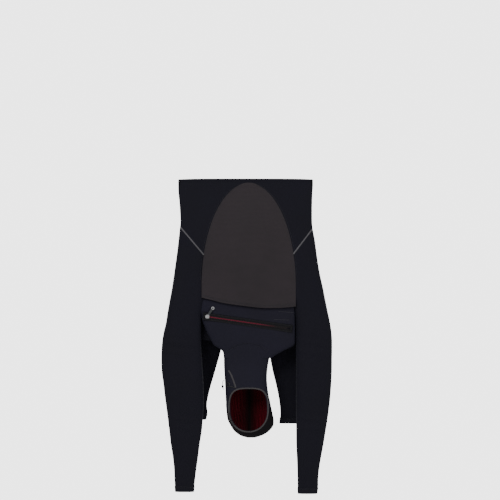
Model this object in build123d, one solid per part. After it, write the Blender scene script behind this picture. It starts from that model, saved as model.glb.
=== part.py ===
from build123d import *
import os
from math import atan2, cos, degrees, radians, sin, tan

# Full wetsuit, hung folded over a round bar at hip height. Millimetres.
# Origin: the bar's axis, half way along the hips. +Z up, +X towards the right arm as hung,
# -Y the side the chest faces. The torso hangs head down in front, the legs hang behind.

# ---- driving dimensions -----------------------------------------------------------------
neoprene = 4.5            # sheet thickness of the outer panels
seam_tape = 0.8           # thickness of the welded seam tapes
lining = 1.5              # thickness of the hood's plush lining
bar_radius = 15.0         # inside radius of the fold where it rests on the bar
fold_arc = 36             # where the torso's fold stops on the rear side, degrees above level
hip_width = 434.0         # flat width at the fold
waist_width = 422.0       # narrowest flat width
chest_width = 496.0       # flat width across the lower edge of the chest panel
shoulder_width = 546.0    # flat width across both upper sleeves
waist_drop = 117.0        # fold to waist
chest_drop = 366.0        # fold to the chest panel's lower edge
shoulder_drop = 510.0     # fold to the top of the free sleeves
neck_drop = 535.0         # fold to the neck hinge line
elbow_drop = 754.0
wrist_drop = 985.0        # fold to the wrist hem
crotch_drop = 117.0
knee_drop = 440.0
ankle_drop = 754.0        # fold to the left ankle hem
leg_lag = 12.0            # the right leg's hem hangs this much lower
chest_depth = 50.0        # front face to back face of the empty torso
chest_panel_half = 152.0  # half width of the smoothskin chest panel
chest_panel_rise = 330.0  # height of the panel's arched upper part
chest_panel_x = 7.0       # the suit hangs a little to one side
zip_length = 262.0
zip_slope = -8.3          # deg, the entry zip runs down towards the right arm
zip_pitch = 5.0
zip_start = (-126.0, -419.0)   # middle of the slider when shut, x and z
bib_face = -50.0          # y of the recessed bib's outer face
hood_drop = 806.0         # fold to the bottom of the hood
face_width = 124.0
face_height = 138.0
face_rise = 89.0          # bottom of the hood to the middle of the face opening
face_x = 6.0
trim_width = 4.0
cord_radius = 1.0
cord_bend = 5.0           # radius of the drawcord loop's corners
cuff_hem = 20.0           # length of the hem bands at wrists and ankles
clearance = 0.3           # between parts that move past each other
leg_swing, knee_swing, sleeve_swing, elbow_swing, nod_front, nod_back = 20, 22, 25, 30, 12, 6

fold_radius = bar_radius + 2 * neoprene

os.makedirs("parts", exist_ok=True)


def write(name, shape):
    shape.label = name
    export_step(shape, f"parts/{name}.step")


def ring(z, left, right, front, back, grow=0.0):
    """One flattened cross-section of a garment tube, lying level."""
    wide, deep = right - left + 2 * grow, back - front + 2 * grow
    radius = 0.46 * min(wide, deep)
    return Pos((left + right) / 2, (front + back) / 2, z) * RectangleRounded(wide, deep, radius)


def body_of(stations, grow=0.0, over=0.0):
    """A solid through stations of (z, left, right, front, back)."""
    rows = list(stations)
    if over:
        rows[0] = (rows[0][0] + over, *rows[0][1:])
        rows[-1] = (rows[-1][0] - over, *rows[-1][1:])
    return loft([ring(*row, grow=grow) for row in rows])


def shell_of(stations, wall=neoprene):
    """A tube open at both ends."""
    return body_of(stations) - body_of(stations, -wall, over=1.0)


def upright(*faces):
    """Faces drawn as x and z, made into a deep prism along Y."""
    return [extrude(Plane.XZ * face, 200, both=True) for face in faces]


def outline(*points):
    return make_face(Polyline(*points, close=True))


def across(*points):
    """A prism along X from points given as y and z."""
    return extrude(Plane.YZ * outline(*points), 400, both=True)


def slab(x0, x1, y0, y1, z0, z1):
    return Pos((x0 + x1) / 2, (y0 + y1) / 2, (z0 + z1) / 2) * Box(x1 - x0, y1 - y0, z1 - z0)


def hinge_relief(y, z, front_deg, back_deg, reach=120.0):
    """What is cut off a tube's top so that it can swing about the line (y, z)."""
    top = z - clearance
    return across(
        (y, top),
        (y - reach, top - reach * tan(radians(front_deg))),
        (y - reach, z + reach),
        (y + reach, z + reach),
        (y + reach, top - reach * tan(radians(back_deg))),
    )


# ---- torso, hanging head down in front of the bar ----------------------------------------
half = [w / 2 for w in (hip_width, waist_width, chest_width, shoulder_width)]
torso_rows = [
    (0, -half[0], half[0], -fold_radius, -bar_radius),
    (-58, -half[0] + 4, half[0] - 4, -33, -13),
    (-waist_drop, -half[1], half[1], -41, -11),
    (-waist_drop - 96, -half[1] - 13, half[1] + 14, -chest_depth, -9),
    (-chest_drop + 76, -half[2] + 12, half[2] - 10, -5 - chest_depth, -8),
    (-chest_drop, -half[2], half[2] + 3, -8 - chest_depth, -8),
    (-chest_drop - 77, -half[3] + 11, half[3] - 7, -8 - chest_depth, -8),
    (-shoulder_drop, -half[3], half[3] + 1, -60, -14),
]
hollow_rows = [(-36, -half[0] + 8, half[0] - 8, -25, -18.5)] + [
    (z, x0 + neoprene, x1 - neoprene, y0 + neoprene, y1 - neoprene)
    for z, x0, x1, y0, y1 in torso_rows[1:]
]
hollow_rows.append((-shoulder_drop - 1, *hollow_rows[-1][1:]))
torso_solid = body_of(torso_rows)
torso_skin = torso_solid - body_of(hollow_rows)


def fold(inner, outer, start, stop, width):
    """Part of a hollow cylinder about the bar, angles measured from +Y upwards."""
    rim = [(90 * cos(radians(a)), 90 * sin(radians(a))) for a in range(start, stop + 1, 6)]
    wedge = extrude(Plane.YZ * outline((0, 0), *rim), width / 2, both=True)
    tube = Rot(0, 90, 0) * (Cylinder(outer, width) - Cylinder(inner, width + 2))
    return tube & wedge


fold_mid = bar_radius + neoprene
outer_fold = fold(fold_mid, fold_radius, fold_arc, 180, hip_width)
inner_fold = fold(bar_radius, fold_mid, fold_arc, 180, hip_width)

back_side = across(
    (-fold_mid, 1), (-23, -58), (-26, -waist_drop), (-30, -213), (-32, -290), (-33, -chest_drop),
    (-33, -443), (-37, -shoulder_drop - 1), (60, -shoulder_drop - 1), (60, 1),
)
front_skin = (torso_skin - back_side) + outer_fold

ellipse_z = 11 - chest_panel_rise
arch = Pos(chest_panel_x, ellipse_z) * Ellipse(chest_panel_half, chest_panel_rise)
below = outline((-190, -350), (-66, -375), (50, -391), (190, -389), (190, -900), (-190, -900))
skirt = Pos(chest_panel_x, -360) * Rectangle(2 * chest_panel_half, 720 - 2 * (360 + ellipse_z))
chest_face = (arch + Pos(chest_panel_x, ellipse_z - 60) * Rectangle(2 * chest_panel_half, 120)) - below
chest_prism, below_prism = upright(chest_face, below)
chest_panel = front_skin & chest_prism
write("chest_panel", chest_panel)

bib_window = upright(outline((-146, -340), (159, -340), (159, -900), (-146, -900)))[0]
left_below, right_below = upright(
    outline((-400, -131), (-212, -131), (-139, -221), (0, -221), (0, -900), (-400, -900)),
    outline((400, -137), (212, -137), (153, -218), (0, -218), (0, -900), (400, -900)),
)
rest = front_skin - chest_prism
write("belly_panel", rest - left_below - right_below)
for side, region in (("left", left_below), ("right", right_below)):
    write(f"{side}_side_panel", (rest & region) - bib_window)
write("hip_fold_liner", inner_fold)

yoke_window = upright(outline((-140, -400), (146, -400), (146, -900), (-140, -900)))[0]
write("back_panel", (torso_skin & back_side) - yoke_window)

tape_skin = (body_of(torso_rows, seam_tape) - torso_solid) - back_side
seams = {
    "left": ((-209, -131), (-143, -214)),
    "right": ((209, -137), (156, -211)),
}
for side, (a, b) in seams.items():
    tilt = degrees(atan2(b[1] - a[1], b[0] - a[0]))
    long = ((b[0] - a[0]) ** 2 + (b[1] - a[1]) ** 2) ** 0.5
    strip = Pos((a[0] + b[0]) / 2, (a[1] + b[1]) / 2) * Rot(0, 0, tilt) * Rectangle(long, 6)
    write(f"{side}_underarm_tape", tape_skin & upright(strip)[0] & slab(-300, 300, -80, -20, -300, 0))

# ---- bib, yoke and shoulder closures -----------------------------------------------------
neck_flat = -neck_drop + 1
bib_outline = outline(
    (-152, -345), (-152, -398), (-126, -472), (-107, -510), (-80, -526), (-74, neck_flat),
    (74, neck_flat), (84, -533), (154, -508), (157, -500), (157, -345),
)
along = (cos(radians(zip_slope)), sin(radians(zip_slope)))
zip_mid = (zip_start[0] + along[0] * zip_length / 2, zip_start[1] + along[1] * zip_length / 2)


def on_zip(shape, step=0.0, rise=0.0):
    """Puts a shape drawn along X at the zip, step along it and rise across it."""
    x = zip_mid[0] + along[0] * step - along[1] * rise
    z = zip_mid[1] + along[1] * step + along[0] * rise
    return Pos(x, 0, z) * Rot(0, -zip_slope, 0) * shape


bib = Pos(0, bib_face + neoprene, 0) * extrude(Plane.XZ * bib_outline, neoprene)
zip_cut = on_zip(Pos(0, bib_face, 0) * Box(zip_length + 26, 30, 7.0))
over_zip = on_zip(Pos(0, bib_face, 0) * Box(700, 30, 300), rise=150)
write("bib_upper_panel", (bib & over_zip) - zip_cut)
write("yoke_panel", (bib - over_zip) - zip_cut)

flap_y = bib_face + neoprene
write("inner_zip_flap", on_zip(Pos(0, flap_y + 1.25, 4) * Box(zip_length + 20, 2.5, 40)))

for side, xs in (("left", (-168, -104)), ("right", (150, 172))):
    write(f"{side}_shoulder_gusset", slab(*xs, flap_y + 2.8, flap_y + 6.8, -504, -400))

lower_left = outline(
    (-107, -510), (-80, -526), (-74, neck_flat), (-69, neck_flat), (-76, -522), (-103, -506)
)
lower_right = outline(
    (74, neck_flat), (84, -533), (145, -511), (145, -506.5), (84, -528.5), (69, neck_flat)
)
for side, face in (("left", lower_left), ("right", lower_right)):
    closure = Pos(0, -14.5, 0) * extrude(Plane.XZ * face, -14.5 - flap_y)
    write(f"{side}_shoulder_closure", closure)
yoke_back = outline((-140, -400), (146, -400), (146, -511), (84, -533), (74, neck_flat), (-74, neck_flat),
                    (-80, -526), (-107, -510), (-140, -508))
write("upper_back_panel", Pos(0, -10, 0) * extrude(Plane.XZ * yoke_back, 4.5))

arc_radius, arc_mid = 108.6, (4.5, -615.6)
arc = Circle(arc_radius + 1.5) - Circle(arc_radius - 1.5)
arc_face = (Pos(*arc_mid) * arc) & (Pos(4.5, -500) * Rectangle(160, 66))
write("neck_seam_tape", Pos(0, bib_face, 0) * extrude(Plane.XZ * arc_face, 0.6))

# ---- entry zip ---------------------------------------------------------------------------
tape_face = bib_face - 1.0
teeth_face = tape_face - 1.2
for name, sign in (("upper", 1), ("lower", -1)):
    write(f"zip_tape_{name}", on_zip(Pos(0, bib_face - 0.5, sign * 6.8) * Box(zip_length + 28, 1, 10.4)))
    rail = Pos(0, tape_face - 0.6, sign * 3.05) * Box(zip_length + 8, 1.2, 0.9)
    count = int(zip_length / zip_pitch)
    teeth = [
        Pos((i - count / 2 + sign / 4) * zip_pitch, tape_face - 0.6, sign * 0.9) * Box(2.0, 1.2, 3.4)
        for i in range(count)
    ]
    write(f"zip_teeth_{name}", on_zip(rail + teeth))
for name, sign in (("closed", -1), ("open", 1)):
    stop = Pos(sign * (zip_length / 2 + 9.5), tape_face - 1.25, 0) * Box(4, 2.5, 9)
    write(f"zip_stop_{name}", on_zip(stop))

plate_back = teeth_face - clearance
plate = extrude(Plane.XZ * (Circle(6) + Pos(3.5, 0) * Rectangle(7, 9)), 2.2)
flange = [Pos(1.0, plate_back + 0.5, s * 4.6) * Box(8, 1.0, 1.2) for s in (1, -1)]

# The pull lies up against the bib, pinned between two ears on the slider.
pull_turn = 34.5          # deg from +Z towards +X
pull_y = plate_back - 3.8
pin = Pos(0, pull_y, 0) * Rot(0, 90, 0)
ears = [Pos(x, plate_back - 3.65, 0) * Box(1.2, 2.9, 3.0) for x in (-2.4, 2.4)]
turned = Rot(0, pull_turn + zip_slope, 0) * (ears[0] + ears[1] + pin * Cylinder(0.5, 4.8))
slider = Pos(0, plate_back, 0) * plate + flange + turned
write("zip_slider", on_zip(slider, step=-zip_length / 2))

barrel = pin * (Cylinder(1.2, 3.0) - Cylinder(0.8, 4.0))
hook = barrel + Pos(0, pull_y + 0.4, 4.05) * Box(2.6, 1.4, 6.1)
tab = Pos(0, pull_y + 1.2, 17.6) * Box(7.0, 1.6, 21)
eyelet = Pos(0, pull_y + 1.2, 32.5) * Rot(90, 0, 0) * (Cylinder(5.0, 2.0) - Cylinder(2.4, 3.0))
eyelet -= Pos(0, pull_y + 1.2, 17.6) * Box(7.0, 3, 21)
for name, shape in (("hook", hook), ("tab", tab), ("eyelet", eyelet)):
    write(f"zip_pull_{name}", Pos(zip_start[0], 0, zip_start[1]) * Rot(0, pull_turn, 0) * shape)

# ---- seat and legs, hanging behind the bar -----------------------------------------------
seat_rows = [
    (0, -half[0], half[0] - 2, bar_radius, fold_radius),
    (-58, -half[0] + 6, half[0] - 8, 13, 38),
    (-crotch_drop, -half[1] + 4, half[1] - 4, 12, 48),
]
seat_hollow = [(-30, -half[0] + 8, half[0] - 10, 17.5, 25)] + [
    (z, x0 + neoprene, x1 - neoprene, y0 + neoprene, y1 - neoprene) for z, x0, x1, y0, y1 in seat_rows[1:]
]
seat_hollow.append((-crotch_drop - 1, *seat_hollow[-1][1:]))
seat_skin = body_of(seat_rows) - body_of(seat_hollow)
bar_side = across((-9, 1), (fold_mid, 1), (27, -60), (30, -crotch_drop - 2), (-9, -crotch_drop - 2))
write("seat_panel", seat_skin & bar_side)
write("lower_front_panel", seat_skin - bar_side)
gusset_y = (seat_rows[-1][3] + neoprene + 0.5, seat_rows[-1][4] - neoprene - 0.5)
write("crotch_gusset", slab(-34, 34, *gusset_y, -crotch_drop, -crotch_drop + neoprene))

leg_rows = [  # z, inner edge, outer edge, front, back, for the right leg as hung
    (-crotch_drop, 9, 207, 12, 48),
    (-200, 18, 207, 12, 51),
    (-320, 38, 213, 13, 53),
    (-knee_drop, 60, 221, 14, 54),
    (-540, 80, 230, 15, 52),
    (-620, 92, 236, 16, 50),
    (-700, 108, 238, 18, 47),
]
hip_axis = (31.0, -crotch_drop - 2)
knee_axis = (34.0, -knee_drop)
for side, mirror in (("left", -1), ("right", 1)):
    nudge = -10 if mirror < 0 else 0     # the left leg hangs a little farther out
    rows = []
    for z, near, far, front, back in leg_rows:
        shift = nudge * min(1.0, max(0.0, (-z - 300) / 300)) * -mirror
        lo, hi = sorted((mirror * (near + abs(shift) * (mirror < 0)), mirror * far))
        rows.append((z, lo, hi, front, back))
    leg_end = -ankle_drop - (leg_lag if mirror > 0 else 0)
    rows.append((leg_end, *sorted((mirror * (112 - nudge), mirror * 232)), 18, 46))
    leg = shell_of(rows) - hinge_relief(*hip_axis, 0, leg_swing)
    shin_zone = hinge_relief(*knee_axis, 4, knee_swing)
    above = across((-90, -knee_drop), (200, -knee_drop), (200, 50), (-90, 50))
    thigh, shin = leg & above, leg - above - shin_zone
    hem = slab(-300, 300, 0, 80, leg_end - 1, leg_end + cuff_hem)
    write(f"{side}_thigh", thigh)
    write(f"{side}_shin", shin - hem)
    write(f"{side}_ankle_hem", shin & hem)
    pad_x = mirror * 148
    pad_zone = upright(Pos(pad_x, -knee_drop - 88) * RectangleRounded(96, 128, 30))[0]
    pad_skin = (body_of(rows, 1.6) - body_of(rows)) & slab(-300, 300, 34, 80, leg_end, -knee_drop)
    write(f"{side}_knee_pad", pad_skin & pad_zone)

# ---- sleeves, hanging in front at the sides ----------------------------------------------
sleeve_rows = {  # z, outer edge, inner edge, front, back
    "left": [
        (-shoulder_drop, -273, -148, -62, -16), (-597, -272, -140, -64, -16), (-674, -263, -137, -64, -17),
        (-elbow_drop, -253, -139, -62, -18), (-827, -243, -148, -60, -20), (-904, -232, -157, -56, -22),
        (-950, -230, -164, -54, -25), (-wrist_drop + 4, -229, -168, -53, -26),
    ],
    "right": [
        (-shoulder_drop, 274, 159, -62, -16), (-597, 273, 159, -64, -16), (-674, 268, 158, -64, -17),
        (-elbow_drop, 258, 158, -62, -18), (-827, 247, 158, -60, -20), (-904, 233, 162, -56, -22),
        (-950, 230, 164, -54, -25), (-wrist_drop - 2, 227, 164, -53, -26),
    ],
}
shoulder_axis = (-39.0, -shoulder_drop - 1)
elbow_axis = (-40.0, -elbow_drop)
for side, table in sleeve_rows.items():
    rows = [(z, *sorted((outer, inner)), front, back) for z, outer, inner, front, back in table]
    sleeve = shell_of(rows) - hinge_relief(*shoulder_axis, sleeve_swing, 0)
    above = across((-200, -elbow_drop), (90, -elbow_drop), (90, 50), (-200, 50))
    hem = slab(-300, 300, -90, 10, rows[-1][0] - 1, rows[-1][0] + cuff_hem)
    forearm = sleeve - above - hinge_relief(*elbow_axis, elbow_swing, 0)
    write(f"{side}_upper_sleeve", sleeve & above)
    write(f"{side}_forearm", forearm - hem)
    write(f"{side}_wrist_hem", forearm & hem)

# ---- neck and hood -----------------------------------------------------------------------
hood_rows = [
    (-neck_drop, -72, 72, -52, -10), (-neck_drop - 50, -70, 68, -56, -6),
    (-neck_drop - 105, -68, 67, -72, 0),
    (-hood_drop + 116, -66, 76, -82, 8), (-hood_drop + 71, -62, 85, -84, 10),
    (-hood_drop + 41, -54, 86, -80, 6), (-hood_drop + 18, -42, 72, -70, -6), (-hood_drop, -14, 42, -54, -24),
]
neck_axis = (-31.0, -neck_drop)
hood_solid = body_of(hood_rows)


def inset(rows, wall, cap):
    """The same stations drawn in by a wall, with the closed end raised by the cap."""
    inner = [(z, x0 + wall, x1 - wall, y0 + wall, y1 - wall) for z, x0, x1, y0, y1 in rows]
    z, *rest_of = inner[-1]
    inner[-1] = (z + cap, *rest_of)
    inner[0] = (inner[0][0] + 1, *inner[0][1:])
    return body_of(inner)


hood_void = inset(hood_rows, neoprene, neoprene)
lining_void = inset(hood_rows, neoprene + lining, neoprene + lining + 0.5)
relief = hinge_relief(*neck_axis, nod_front, nod_back)


def face_outline(grow=0.0):
    """The face opening: nearly straight along the brow, round at the chin side."""
    wide, tall = face_width / 2 + grow, face_height / 2 + grow
    face_z = -hood_drop + face_rise
    points = []
    for i in range(20):
        c, t = cos(radians(18 * i)), sin(radians(18 * i))
        power = 0.62 if t > 0 else 0.95
        x = wide * abs(c) ** power * (1 if c > 0 else -1)
        points.append((face_x + x, face_z + tall * abs(t) ** power * (1 if t > 0 else -1)))
    return make_face(Spline(*points, periodic=True))


hood_end = -hood_drop - 94
front_half = slab(-200, 200, -200, -34, hood_end, -400)
hole, hole_out = (p & front_half for p in upright(face_outline(), face_outline(trim_width)))

hood_skin = hood_solid - hood_void - relief - hole_out
neck_zone = slab(-200, 200, -200, 200, -neck_drop - 111, -400)
nape_zone = slab(-200, 200, -34, 200, hood_end, -400)
write("neck_front_panel", (hood_skin & neck_zone) - nape_zone)
write("neck_back_panel", hood_skin & neck_zone & nape_zone)
write("hood_face_panel", (hood_skin - neck_zone) - nape_zone)
write("hood_crown_panel", (hood_skin - neck_zone) & nape_zone)
write("face_trim", ((body_of(hood_rows, 1.4) - lining_void) & hole_out) - hole)
plush = (hood_void - lining_void) & slab(-200, 200, -34, 200, hood_end, -neck_drop - 75)
write("hood_lining_left", plush & slab(-200, 4, -200, 200, hood_end, -400))
write("hood_lining_right", plush & slab(4, 200, -200, 200, hood_end, -400))

# ---- hood drawcord: a short elastic loop with a push-button lock --------------------------
patch_zone = slab(-90, -40, -56, -26, -660, -616)
write("drawcord_patch", (body_of(hood_rows, 1.2) - hood_solid) & patch_zone)
cord_y, cord_x, cord_top, cord_low = -40.0, -76.5, -624.0, -652.0
loop = FilletPolyline(
    (-71.1, cord_y, cord_top), (cord_x, cord_y, cord_top),
    (cord_x, cord_y, cord_low), (-71.1, cord_y, cord_low),
    radius=cord_bend,
)
write("drawcord_loop", sweep(Plane(loop @ 0, z_dir=loop % 0) * Circle(cord_radius), path=loop))
lock_z = cord_low + cord_bend + 3.8
lock = Pos(cord_x, cord_y - 1.5, lock_z) * Box(7, 9, 7)
lock = fillet(lock.edges(), 1.0)
lock -= Pos(cord_x, cord_y, lock_z) * Cylinder(cord_radius + clearance, 10)
lock -= Pos(cord_x, cord_y - 6.0 + 2.0, lock_z) * Rot(90, 0, 0) * Cylinder(2.1, 4.2)
write("cord_lock_body", lock)
write("cord_lock_button", Pos(cord_x, cord_y - 6.0, lock_z) * Rot(90, 0, 0) * Cylinder(1.8, 5.0))
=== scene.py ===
"""Full wetsuit hung over a bar: the soft panels, seams, zip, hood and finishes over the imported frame."""

import logging
import math
from collections.abc import Callable, Iterable, Sequence
from dataclasses import dataclass, field
from enum import Enum

import bmesh
import bpy
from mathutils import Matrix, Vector, noise


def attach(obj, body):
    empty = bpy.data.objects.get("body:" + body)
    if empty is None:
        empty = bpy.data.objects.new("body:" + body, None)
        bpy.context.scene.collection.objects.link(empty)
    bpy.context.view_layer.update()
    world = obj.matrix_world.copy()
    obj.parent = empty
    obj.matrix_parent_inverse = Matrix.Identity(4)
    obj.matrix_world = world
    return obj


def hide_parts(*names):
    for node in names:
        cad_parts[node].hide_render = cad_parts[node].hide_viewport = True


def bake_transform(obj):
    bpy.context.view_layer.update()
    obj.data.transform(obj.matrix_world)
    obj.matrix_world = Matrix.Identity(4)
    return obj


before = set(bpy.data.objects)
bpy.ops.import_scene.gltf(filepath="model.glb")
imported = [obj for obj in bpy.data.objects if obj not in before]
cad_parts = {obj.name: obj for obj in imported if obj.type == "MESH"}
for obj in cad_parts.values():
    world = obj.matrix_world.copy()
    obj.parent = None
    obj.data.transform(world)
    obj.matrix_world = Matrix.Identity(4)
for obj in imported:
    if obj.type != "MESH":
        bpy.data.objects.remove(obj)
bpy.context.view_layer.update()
MM = 0.001
LOG = logging.getLogger("wetsuit")
Station = tuple[float, float, float, float, float]
Colour = tuple[float, float, float]
Socket = bpy.types.NodeSocket


# ---------------------------------------------------------------------------- finishes
class Pattern(Enum):
    """How a finish is textured."""

    KNIT = "knit"
    MESH = "mesh"
    PRINT = "print"
    WEAVE = "weave"
    BRAID = "braid"
    PILE = "pile"
    MOULDED = "moulded"
    BRUSHED = "brushed"


class Graph:
    """A short way of writing a material's nodes."""

    def __init__(self, name: str) -> None:
        """Start a material with an empty node tree.

        Args:
            name: the material's name.
        """
        self.material = bpy.data.materials.new(name)
        self.material.use_nodes = True
        self.tree = self.material.node_tree
        self.tree.nodes.clear()

    def add(self, kind: str, **settings: object) -> bpy.types.Node:
        """Add a node and set its inputs or properties.

        Args:
            kind: the node type without its ShaderNode prefix.
            **settings: input names (with _ for space) or property names and their values.

        Returns:
            The new node.
        """
        node = self.tree.nodes.new("ShaderNode" + kind)
        for key, value in settings.items():
            if hasattr(node, key):
                setattr(node, key, value)
                continue
            socket = node.inputs[int(key[1:])] if key[1:].isdigit() else node.inputs[key.replace("_", " ")]
            if isinstance(value, Socket):
                self.tree.links.new(value, socket)
            else:
                socket.default_value = value
        return node

    def sum(self, a: object, b: object, how: str = "ADD") -> Socket:
        """Combine two values.

        Args:
            a: a socket or a number.
            b: a socket or a number.
            how: the Math node's operation.

        Returns:
            The result's socket.
        """
        return self.add("Math", operation=how, i0=a, i1=b).outputs[0]

    def noise(self, place: Socket, scale: float, detail: float) -> Socket:
        """Return a cloudy value from 0 to 1.

        Args:
            place: object coordinates in metres.
            scale: how many clouds to the metre.
            detail: octaves.

        Returns:
            The value's socket.
        """
        return self.add("TexNoise", Vector=place, Scale=scale, Detail=detail).outputs[0]

    def mix(self, share: Socket, colour: Socket, other: Colour) -> Socket:
        """Blend a colour into a plain one.

        Args:
            share: how much of the other colour, 0 to 1.
            colour: the first colour.
            other: the other colour, linear.

        Returns:
            The blended colour's socket.
        """
        node = self.add("Mix", data_type="RGBA", blend_type="MIX", i0=share)
        self.tree.links.new(colour, node.inputs[6])
        node.inputs[7].default_value = (*other, 1.0)
        return node.outputs[2]

    def ramp(self, value: Socket, stops: Sequence[tuple[float, Colour]]) -> Socket:
        """Turn a value into a colour.

        Args:
            value: the driving socket.
            stops: positions and linear colours.

        Returns:
            The colour socket.
        """
        node = self.add("ValToRGB", i0=value)
        band = node.color_ramp
        while len(band.elements) < len(stops):
            band.elements.new(0.5)
        for element, (at, colour) in zip(band.elements, stops):
            element.position = at
            element.color = (*colour, 1.0)
        return node.outputs[0]


def shade(colour: Colour, by: float) -> Colour:
    """Return the colour made lighter or darker.

    Args:
        colour: linear red, green and blue.
        by: what to multiply by.

    Returns:
        The new colour.
    """
    return (colour[0] * by, colour[1] * by, colour[2] * by)


@dataclass(frozen=True)
class Finish:
    """One surface finish, made into a material once."""

    name: str
    colour: Colour
    pattern: Pattern
    pitch: float = 1.6
    depth: float = 0.12
    rough: float = 0.7
    sheen: float = 0.0
    sheen_tint: Colour = (0.5, 0.5, 0.6)
    specular: float = 0.35
    metal: float = 0.0
    mottle: float = 0.25
    fade: tuple[float, float, Colour] | None = None
    # band: a stripe of another colour either side of a line; on the zip teeth it is their own red centre
    # line, on the red lining it is painted shade down the middle of the hood
    band: tuple[float, float, float, float, float, Colour] | None = None

    def height(self, graph: Graph, place: Socket) -> Socket:
        """Build the fine relief of the finish.

        Args:
            graph: the material being built.
            place: object coordinates in metres.

        Returns:
            A socket from 0 to 1.
        """
        band = 2 * math.pi / (20 * self.pitch * MM)

        def wave(direction: str, scale: float = band, bend: float = 0.0) -> Socket:
            """Return one set of ribs across a direction."""
            return graph.add(
                "TexWave", bands_direction=direction, Vector=place, Scale=scale, Distortion=bend, Detail=1.0
            ).outputs[1]

        def cells(scale: float, feature: str = "F1") -> Socket:
            """Return a field of cells about one scale apart."""
            return graph.add(
                "TexVoronoi", feature=feature, Vector=place, Scale=scale, Randomness=0.35
            ).outputs[0]

        if self.pattern is Pattern.KNIT:
            return graph.sum(wave("X", bend=0.6), wave("Z", band * 0.7, 0.6), "MULTIPLY")
        if self.pattern is Pattern.MESH:
            return graph.sum(cells(1 / (self.pitch * MM)), 1.0, "MULTIPLY")
        if self.pattern is Pattern.PRINT:
            return graph.sum(cells(1 / (self.pitch * MM), "DISTANCE_TO_EDGE"), 3.0, "MULTIPLY")
        if self.pattern is Pattern.WEAVE:
            return graph.sum(wave("X"), wave("Z"), "MAXIMUM")
        if self.pattern is Pattern.BRAID:
            return graph.sum(wave("DIAGONAL"), wave("Z", band * 0.5), "MULTIPLY")
        if self.pattern is Pattern.PILE:
            tufts = graph.noise(place, 1 / (self.pitch * MM), 4.0)
            return graph.sum(wave("X", band * 0.12, 1.2), tufts, "MULTIPLY")
        if self.pattern is Pattern.BRUSHED:
            return wave("DIAGONAL", band, 5.0)
        return graph.noise(place, 1 / (self.pitch * MM), 3.0)

    def material(self) -> bpy.types.Material:
        """Return the material, making it the first time.

        Returns:
            The material.
        """
        title = f"{self.name}_finish"
        found = bpy.data.materials.get(title)
        if found:
            return found
        graph = Graph(title)
        place = graph.add("TexCoord").outputs["Object"]
        fine = self.height(graph, place)
        broad = graph.noise(place, 9.0, 3.0)
        grain = graph.noise(place, 420.0, 2.0)
        low, high = 1 - self.mottle, 1 + self.mottle
        tone = graph.sum(graph.sum(broad, 0.7, "MULTIPLY"), graph.sum(fine, 0.3, "MULTIPLY"))
        colour = graph.ramp(tone, [(0.2, shade(self.colour, low)), (0.8, shade(self.colour, high))])
        if self.fade:
            start, end, other = self.fade
            x = graph.add("SeparateXYZ", Vector=place).outputs[0]
            share = graph.add("MapRange", Value=x, From_Min=start * MM, From_Max=end * MM).outputs[0]
            colour = graph.mix(share, colour, other)
        # The stripe along a line: on the zip teeth the red centre line is their own colour; on the red lining
        # it is painted shade, the pile darkened to near black down the middle of the hood
        if self.band:
            x, z, slope, start, end, other = self.band
            lean = math.radians(slope)
            level = (-math.sin(lean), 0.0, math.cos(lean))
            middle = (x * MM, 0.0, z * MM)
            here = graph.add("VectorMath", operation="SUBTRACT", i0=place, i1=middle).outputs[0]
            off = graph.add("VectorMath", operation="DOT_PRODUCT", i0=here, i1=level).outputs["Value"]
            off = graph.add("Math", operation="ABSOLUTE", i0=off).outputs[0]
            share = graph.add("MapRange", Value=off, From_Min=start * MM, From_Max=end * MM).outputs[0]
            colour = graph.mix(share, colour, other)
        worn = graph.sum(broad, grain, "MULTIPLY")
        rough = graph.add(
            "MapRange", Value=worn, To_Min=self.rough - 0.08, To_Max=self.rough + 0.12
        ).outputs[0]
        bump = graph.add("Bump", Height=fine, Strength=0.6, Distance=self.depth * MM).outputs[0]
        bump = graph.add("Bump", Height=grain, Strength=0.35, Distance=0.08 * MM, Normal=bump).outputs[0]
        shader = graph.add(
            "BsdfPrincipled", Base_Color=colour, Roughness=rough, Metallic=self.metal, Normal=bump,
            Specular_IOR_Level=self.specular, Sheen_Weight=self.sheen, Sheen_Roughness=0.45,
            Sheen_Tint=(*self.sheen_tint, 1.0),
        )
        graph.tree.links.new(shader.outputs[0], graph.add("OutputMaterial").inputs[0])
        return graph.material


JERSEY = Finish(
    "jersey_neoprene", (0.0036, 0.0032, 0.0076), Pattern.KNIT, 1.8, 0.14, 0.82, 0.02, (0.35, 0.38, 0.55), 0.16
)
JERSEY_FRONT = Finish(
    "yoke_jersey", (0.0056, 0.0049, 0.0122), Pattern.KNIT, 1.8, 0.14, 0.78, 0.03, (0.35, 0.38, 0.6), 0.18
)
JERSEY_DIM = Finish("jersey_inside", (0.0025, 0.0025, 0.0035), Pattern.KNIT, 1.8, 0.14, 0.88, specular=0.1)
SKIN = Finish(
    "smoothskin", (0.0150, 0.0110, 0.0135), Pattern.MESH, 2.2, 0.22, 0.68, 0.02, (0.6, 0.5, 0.5), 0.22
)
KNEE = Finish("knee_print", (0.0070, 0.0070, 0.0085), Pattern.PRINT, 7.0, 0.5, 0.6, specular=0.3)
TAPE = Finish("seam_tape", (0.055, 0.052, 0.058), Pattern.MOULDED, 3.0, 0.1, 0.55, specular=0.3)
PIPING = Finish("piping_edge", (0.030, 0.027, 0.030), Pattern.MOULDED, 3.0, 0.1, 0.6, specular=0.25)
THREAD = Finish("thread", (0.024, 0.024, 0.030), Pattern.BRAID, 0.8, 0.1, 0.65, specular=0.2)
BINDING = Finish("face_binding", (0.040, 0.037, 0.038), Pattern.KNIT, 1.4, 0.15, 0.7, specular=0.25)
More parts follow.
